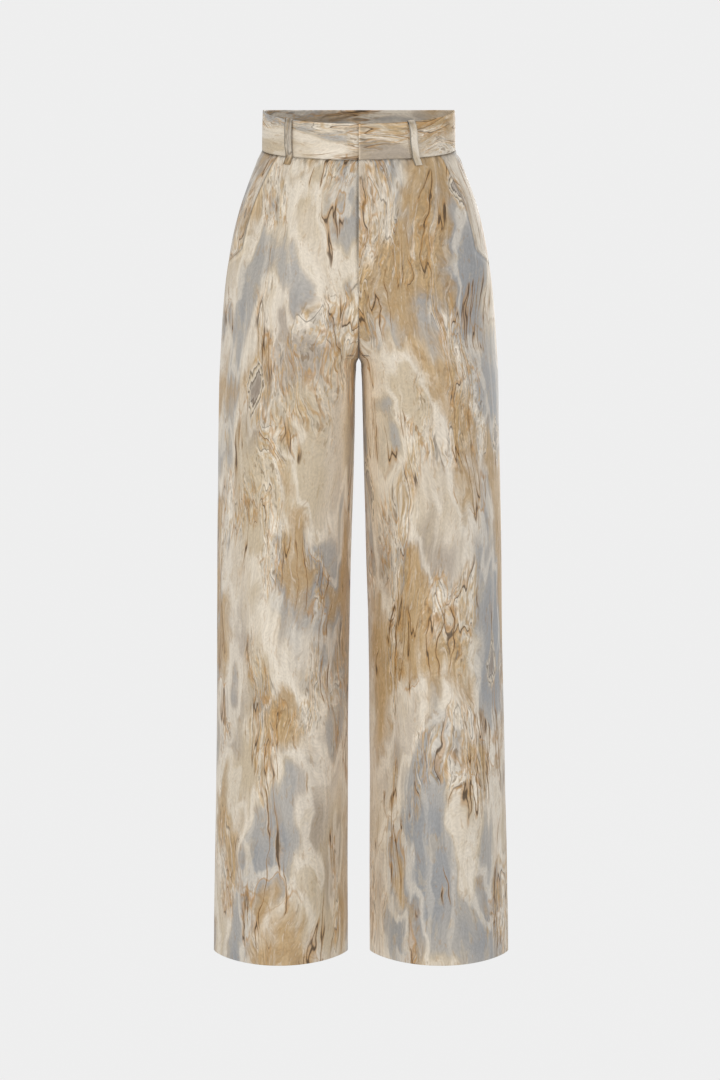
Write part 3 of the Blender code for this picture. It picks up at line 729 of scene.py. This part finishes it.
def makeLoop(degrees, lean, wave, over):
    path = strapPath(over)
    fine = np.linspace(0, len(path) - 1, strap["rows"])
    level, distance = (np.interp(fine, np.arange(len(path)), path[:, column]) for column in (0, 1))
    for _ in range(5):  # rounds the corners of the path
        level[1:-1] = (level[:-2] + 2 * level[1:-1] + level[2:]) / 4
        distance[1:-1] = (distance[:-2] + 2 * distance[1:-1] + distance[2:]) / 4
    down = np.clip(level / form["bandHeight"], 0.0, 1.2)
    aside = lean * (down - 0.5) + wave * np.sin(down * 2.3 * math.pi) * (1 - np.abs(down - 0.5))
    around = math.radians(degrees) + aside / bandRings[0][1]
    onBand = np.maximum(level, 0.0)
    centre = bodyPoint(around, onBand) + bandFacing(around, onBand) * distance[:, None]
    centre[:, 2] -= level - onBand
    along = np.gradient(centre, axis=0)
    sideways = unit(bandAhead(around, onBand))
    facing = unit(np.cross(along, sideways))
    middle = len(level) // 2
    facing = facing * np.sign(np.dot(facing[middle], bandFacing(around, onBand)[middle]))
    spread = np.concatenate([[-1, -0.96, -0.88], np.linspace(-0.78, 0.78, strap["columns"]), [0.88, 0.96, 1]])
    fromEdge = (1 - np.abs(spread)) * strap["width"] / 2
    crown = strap["crown"] * np.cos(spread * math.pi / 2)
    fromFoot = lengthAlong(centre[:, None], 0)[::-1]
    halfThick = roundedHalf(strap["thickness"], fromEdge[None, :], fromFoot, fromFoot[::-1])
    sheet = centre[:, None] + sideways[:, None] * (spread * strap["width"] / 2)[None, :, None]
    outer = sheet + facing[:, None] * (halfThick + crown)[..., None]
    inner = sheet - facing[:, None] * halfThick[..., None]
    # painted shadow under the strap's fold over the band's top, and along its edges
    underTop = bell(level - strap["overShadeWidth"], strap["overShadeWidth"])[:, None]
    paintedEdgeShadow = sum(strength * ease((edge * spread - start) / 0.2) for edge, start, strength in strap["edgeShades"])
    shade = paintedEdgeShadow[None, :] + strap["overShade"] * underTop
    return outer, inner, flatCloth(sheet, len(spread) // 2), shade


printColours = dict(
    ivory="ece2d2", cream="dbcebb", rose="ccc0b1", sand="ccbb9f", ochre="c1a171", camel="a98656", amber="b58646",
    stone="b6aca0", greyBlue="acaaa7", deepBlue="9a9c9f", taupe="998c80", umber="43321f",
)

patterns = dict(  # features a metre across and down the cloth, detail, roughness, place
    brush=((280, 8), 2, 0.65, (0.0, 0.0)),
    broad=((70, 6), 2, 0.5, (3.1, 1.7)),
    tone=((7.5, 3.6), 3, 0.5, (7.7, 4.2)),
    blue=((8.5, 3.5), 3, 0.5, (1.9, 6.3)),
    ochre=((9.5, 4.6), 3, 0.55, (4.4, 2.8)),
    taupe=((8, 5), 2, 0.5, (8.3, 0.7)),
    mottle=((55, 30), 3, 0.6, (2.2, 9.5)),
    wrinkle=((80, 26), 4, 0.64, (0.0, 0.0)),
    wrinkleNear=((80, 26), 4, 0.64, (0.13, 0.07)),
    rough=((12, 5.0), 2, 0.5, (1.3, 8.8)),
    flow=((22, 3.8), 2, 0.5, (8.8, 3.9)),
    vein=((34, 6.0), 3, 0.6, (6.6, 5.1)),
    crack=((46, 4.6), 2, 0.55, (5.5, 2.2)),
    scratch=((190, 48), 2, 0.65, (3.9, 7.4)),
    grain=((430, 250), 1, 0.5, (0.7, 3.3)),
    stretch=((15, 7), 2, 0.5, (9.1, 0.6)),
)

layers = (  # pattern, middle of a line or None for a field, where it starts, where it is full, strength, colour, mask
    ("tone", None, 0.54, 0.40, 0.85, "sand", None),
    ("tone", None, 0.52, 0.66, 0.80, "rose", None),
    ("taupe", None, 0.56, 0.70, 0.60, "taupe", None),
    ("blue", 0.492, 0.045, 0.012, 0.70, "ivory", None),
    ("blue", None, 0.514, 0.560, 0.80, "greyBlue", None),
    ("blue", None, 0.560, 0.680, 0.75, "deepBlue", None),
    ("ochre", 0.510, 0.045, 0.012, 0.55, "ivory", None),
    ("ochre", None, 0.530, 0.650, 0.85, "ochre", None),
    ("mottle", None, 0.450, 0.640, 0.60, "camel", "ochre"),
    ("mottle", None, 0.560, 0.660, 0.30, "sand", None),
    ("broad", None, 0.560, 0.680, 0.25, "ivory", None),
    ("blue", 0.511, 0.009, 0.001, 0.40, "camel", "stretch"),
    ("ochre", 0.535, 0.010, 0.001, 0.60, "amber", "stretch"),
    ("scratch", None, 0.560, 0.640, 0.60, "ochre", "rough"),
    ("scratch", None, 0.400, 0.320, 0.40, "umber", "rough"),
    ("scratch", None, 0.620, 0.720, 0.35, "ivory", "ochre"),
    ("scratch", None, 0.380, 0.300, 0.30, "camel", None),
    ("flow", 0.420, 0.016, 0.003, 0.50, "ivory", "rough"),
    ("flow", 0.430, 0.006, 0.001, 0.55, "umber", "rough"),
    ("flow", 0.465, 0.014, 0.003, 0.60, "ochre", "rough"),
    ("flow", 0.504, 0.014, 0.003, 0.50, "amber", "rough"),
    ("flow", 0.511, 0.005, 0.001, 0.80, "umber", "rough"),
    ("flow", 0.545, 0.012, 0.003, 0.60, "ochre", "rough"),
    ("flow", 0.577, 0.014, 0.003, 0.50, "ivory", "rough"),
    ("flow", 0.586, 0.005, 0.001, 0.50, "umber", "rough"),
    ("tone", 0.560, 0.008, 0.001, 0.45, "camel", "stretch"),
    ("vein", 0.500, 0.026, 0.004, 0.50, "amber", "rough"),
    ("crack", 0.500, 0.045, 0.010, 0.60, "amber", "stretch"),
    ("crack", 0.500, 0.014, 0.004, 0.85, "umber", "stretch"),
)

masks = dict(ochre=("ochre", 0.50, 0.60), stretch=("stretch", 0.55, 0.61), rough=("rough", 0.51, 0.61))

drifts = (  # features a metre across and down, detail, reach: slow bends, quicker ones, the drag of the brush
    ((8.0, 3.6), 1.5, (0.060, 0.090)),
    ((34, 15), 2.5, (0.017, 0.026)),
    ((100, 9), 2, (0.001, 0.016)),
)

knots = dict(  # here and there a diamond of rings
    scale=(5.6, 3.4), start=(0.4, 0.3), scatter=0.9, missing=0.45, edge=0.140, full=0.100, strength=0.85,
    ragged=0.13, raggedMiddle=0.065,
    rings=((0.030, "taupe"), (0.048, "stone"), (0.058, "umber"), (0.068, "ivory"), (0.085, "sand"),
           (0.095, "umber"), (0.104, "ivory"), (0.125, "ochre"), (0.140, "cream")),
)

satin = dict(
    streak=(0.93, 1.06), grain=(0.93, 1.07), wrinkleLight=1.5, seamShadow=0.62,
    threads=(1100.0, 90.0), threadBump=0.16, threadHeight=0.12 * mm,
    roughness=0.43, wrongSideRoughness=0.60, specular=0.42, ior=1.5, sheen=0.08, sheenRoughness=0.45,
)


def printedSatin(name, shift, turned=0.0, paler=0.0, deeper=1.0):
    # polyester satin with an all-over marbled print: smooth, with a soft low sheen along its fine threads
    material, tree = newMaterial(name)
    colour = {key: [*linearColour(value), 1] for key, value in printColours.items()}
    uv = addNode(tree, "ShaderNodeUVMap", uv_map="cloth")
    place = addNode(tree, "ShaderNodeMapping", {
        "Vector": uv[0], "Location": (*shift, 0), "Rotation": (0, 0, turned)})

    for scale, detail, reach in drifts:
        seen = addNode(tree, "ShaderNodeMapping", {"Vector": place[0], "Scale": (*scale, 1)})
        noise = addNode(tree, "ShaderNodeTexNoise", {
            "Vector": seen[0], "Scale": 1.0, "Detail": detail}, noise_dimensions="2D")
        bend = addNode(tree, "ShaderNodeVectorMath", {
            0: noise["Color"], 1: (0.5, 0.5, 0.5)}, operation="SUBTRACT")
        place = addNode(tree, "ShaderNodeVectorMath", {
            0: bend[0], 1: (*reach, 0), 2: place[0]}, operation="MULTIPLY_ADD")

    value = {}
    for key, (scale, detail, roughness, start) in patterns.items():
        seen = addNode(tree, "ShaderNodeMapping", {
            "Vector": place[0], "Location": (*start, 0), "Scale": (*scale, 1)})
        noise = addNode(tree, "ShaderNodeTexNoise", {
            "Vector": seen[0], "Scale": 1.0, "Detail": detail, "Roughness": roughness}, noise_dimensions="2D")
        value[key] = noise[0]
    mask = {}
    for key, (pattern, start, full) in masks.items():
        mask[key] = addNode(tree, "ShaderNodeMapRange", {
            "Value": value[pattern], "From Min": start, "From Max": full}, interpolation_type="SMOOTHSTEP")[0]

    shown = addNode(tree, "ShaderNodeRGB")[0]
    shown.default_value = colour["cream"]
    for pattern, middle, start, full, strength, colourName, maskName in layers:
        source = value[pattern]
        if middle is not None:
            off = addNode(tree, "ShaderNodeMath", {0: source, 1: middle}, operation="SUBTRACT")
            source = addNode(tree, "ShaderNodeMath", {0: off[0]}, operation="ABSOLUTE")[0]
        share = addNode(tree, "ShaderNodeMapRange", {
            "Value": source, "From Min": start, "From Max": full, "To Max": strength,
        }, interpolation_type="SMOOTHSTEP")[0]
        if maskName:
            share = addNode(tree, "ShaderNodeMath", {0: share, 1: mask[maskName]}, operation="MULTIPLY")[0]
        shown = addNode(tree, "ShaderNodeMix", {0: share, 6: shown, 7: colour[colourName]}, data_type="RGBA")[2]

    knotPlace = addNode(tree, "ShaderNodeMapping", {
        "Vector": place[0], "Location": (*knots["start"], 0), "Scale": (*knots["scale"], 1)})
    knot = addNode(tree, "ShaderNodeTexVoronoi", {
        "Vector": knotPlace[0], "Scale": 1.0, "Randomness": knots["scatter"],
    }, voronoi_dimensions="2D", distance="MANHATTAN")
    pick = addNode(tree, "ShaderNodeSeparateColor", {0: knot["Color"]})
    there = addNode(tree, "ShaderNodeMath", {0: pick[0], 1: knots["missing"]}, operation="GREATER_THAN")
    near = addNode(tree, "ShaderNodeMapRange", {
        "Value": knot["Distance"], "From Min": knots["edge"], "From Max": knots["full"], "To Max": knots["strength"],
    }, interpolation_type="SMOOTHSTEP")
    share = addNode(tree, "ShaderNodeMath", {0: there[0], 1: near[0]}, operation="MULTIPLY")
    ragged = addNode(tree, "ShaderNodeMath", {
        0: value["wrinkle"], 1: knots["ragged"], 2: knot["Distance"]}, operation="MULTIPLY_ADD")
    ragged = addNode(tree, "ShaderNodeMath", {0: ragged[0], 1: knots["raggedMiddle"]}, operation="SUBTRACT")
    rings = addNode(tree, "ShaderNodeValToRGB", {0: ragged[0]})
    stops = rings[0].node.color_ramp.elements
    stops.remove(stops[1])
    stops[0].position, stops[0].color = knots["rings"][0][0], colour[knots["rings"][0][1]]
    for at, colourName in knots["rings"][1:]:
        stops.new(at).color = colour[colourName]
    shown = addNode(tree, "ShaderNodeMix", {0: share[0], 6: shown, 7: rings[0]}, data_type="RGBA")[2]

    # the brush's streaks, and the bark-like wrinkles painted with their own light and shade
    dark, bright = satin["streak"]
    streak = addNode(tree, "ShaderNodeMapRange", {
        "Value": value["brush"], "From Min": 0.3, "From Max": 0.7,
        "To Min": dark * deeper, "To Max": bright * deeper})
    dark, bright = satin["grain"]
    grain = addNode(tree, "ShaderNodeMapRange", {
        "Value": value["grain"], "From Min": 0.3, "From Max": 0.7, "To Min": dark, "To Max": bright})
    slope = addNode(tree, "ShaderNodeMath", {0: value["wrinkle"], 1: value["wrinkleNear"]}, operation="SUBTRACT")
    slope = addNode(tree, "ShaderNodeMath", {0: slope[0], 1: mask["rough"]}, operation="MULTIPLY")
    shade = addNode(tree, "ShaderNodeMath", {
        0: slope[0], 1: satin["wrinkleLight"], 2: 1.0}, operation="MULTIPLY_ADD")
    shade = addNode(tree, "ShaderNodeMath", {0: shade[0], 1: streak[0]}, operation="MULTIPLY")
    shade = addNode(tree, "ShaderNodeMath", {0: shade[0], 1: grain[0]}, operation="MULTIPLY")
    # painted shade and highlights carried by the cloth's attribute: shadow in fine gaps, tucks and pocket mouths,
    # light on crests and edges
    paintedShadeAndLight = addNode(tree, "ShaderNodeAttribute", attribute_name="paintedShadeAndLight", attribute_type="GEOMETRY")
    paintedShadeFactor = addNode(tree, "ShaderNodeMath", {
        0: paintedShadeAndLight["Fac"], 1: -satin["seamShadow"], 2: 1.0}, operation="MULTIPLY_ADD")
    shade = addNode(tree, "ShaderNodeMath", {0: shade[0], 1: paintedShadeFactor[0]}, operation="MULTIPLY")
    shown = addNode(tree, "ShaderNodeVectorMath", {0: shown, "Scale": shade[0]}, operation="SCALE")[0]
    if paler:  # the wrong side, where the print only strikes through
        shown = addNode(tree, "ShaderNodeMix", {0: paler, 6: shown, 7: colour["cream"]}, data_type="RGBA")[2]

    # threads: a satin's are under 0.1 mm, drawn 0.9 mm apart so that they show at all
    threadPlace = addNode(tree, "ShaderNodeMapping", {"Vector": uv[0], "Scale": (*satin["threads"], 1)})
    threads = addNode(tree, "ShaderNodeTexNoise", {
        "Vector": threadPlace[0], "Scale": 1.0, "Detail": 1.0}, noise_dimensions="2D")
    bump = addNode(tree, "ShaderNodeBump", {
        "Height": threads[0], "Strength": satin["threadBump"], "Distance": satin["threadHeight"]})
    shader = addNode(tree, "ShaderNodeBsdfPrincipled", {
        "Base Color": shown, "Roughness": satin["wrongSideRoughness" if paler else "roughness"],
        "Specular IOR Level": satin["specular"], "IOR": satin["ior"], "Sheen Weight": satin["sheen"],
        "Sheen Roughness": satin["sheenRoughness"], "Normal": bump[0]})
    addNode(tree, "ShaderNodeOutputMaterial", {"Surface": shader[0]})
    return material


makeCamera()
makeStage(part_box("front_left")[0].z)
print("studio ready")

wrongSide = printedSatin("satinWrongSide", (2.35, 1.10), paler=0.45)
cuts = dict(  # where each piece was cut from the printed cloth
    front_left=(0.31, 0.22), front_right=(1.42, 0.87), back_left=(2.21, 0.35), back_right=(3.05, 1.20),
    pocket_facing_left=(0.77, 2.10), pocket_facing_right=(1.90, 2.65), waistband=(4.1, 0.4),
)

for side, word in ((leftSide, "left"), (rightSide, "right")):
    for part, make in (("front", makeFront), ("back", makeBack), ("pocket_facing", makeFacing)):
        node = f"{part}_{word}"
        shell = make(side)
        rightFace = printedSatin(f"satin_{node}", cuts[node])
        clothShell(f"cloth_{node}", node, *shell, [rightFace, wrongSide])

shell = makeBand()
rightFace = printedSatin("satin_waistband", cuts["waistband"], turned=math.pi / 2)  # cut along the cloth
clothShell("cloth_waistband", "waistband", *shell, [rightFace], held="folded")

for node, degrees, lean, wave, over, cut, deeper in loops:
    shell = makeLoop(degrees, lean, wave, over)
    rightFace = printedSatin(f"satin_{node}", cut, deeper=deeper)
    clothShell(f"cloth_{node}", node, *shell, [rightFace], held="folded")

print("garment ready")
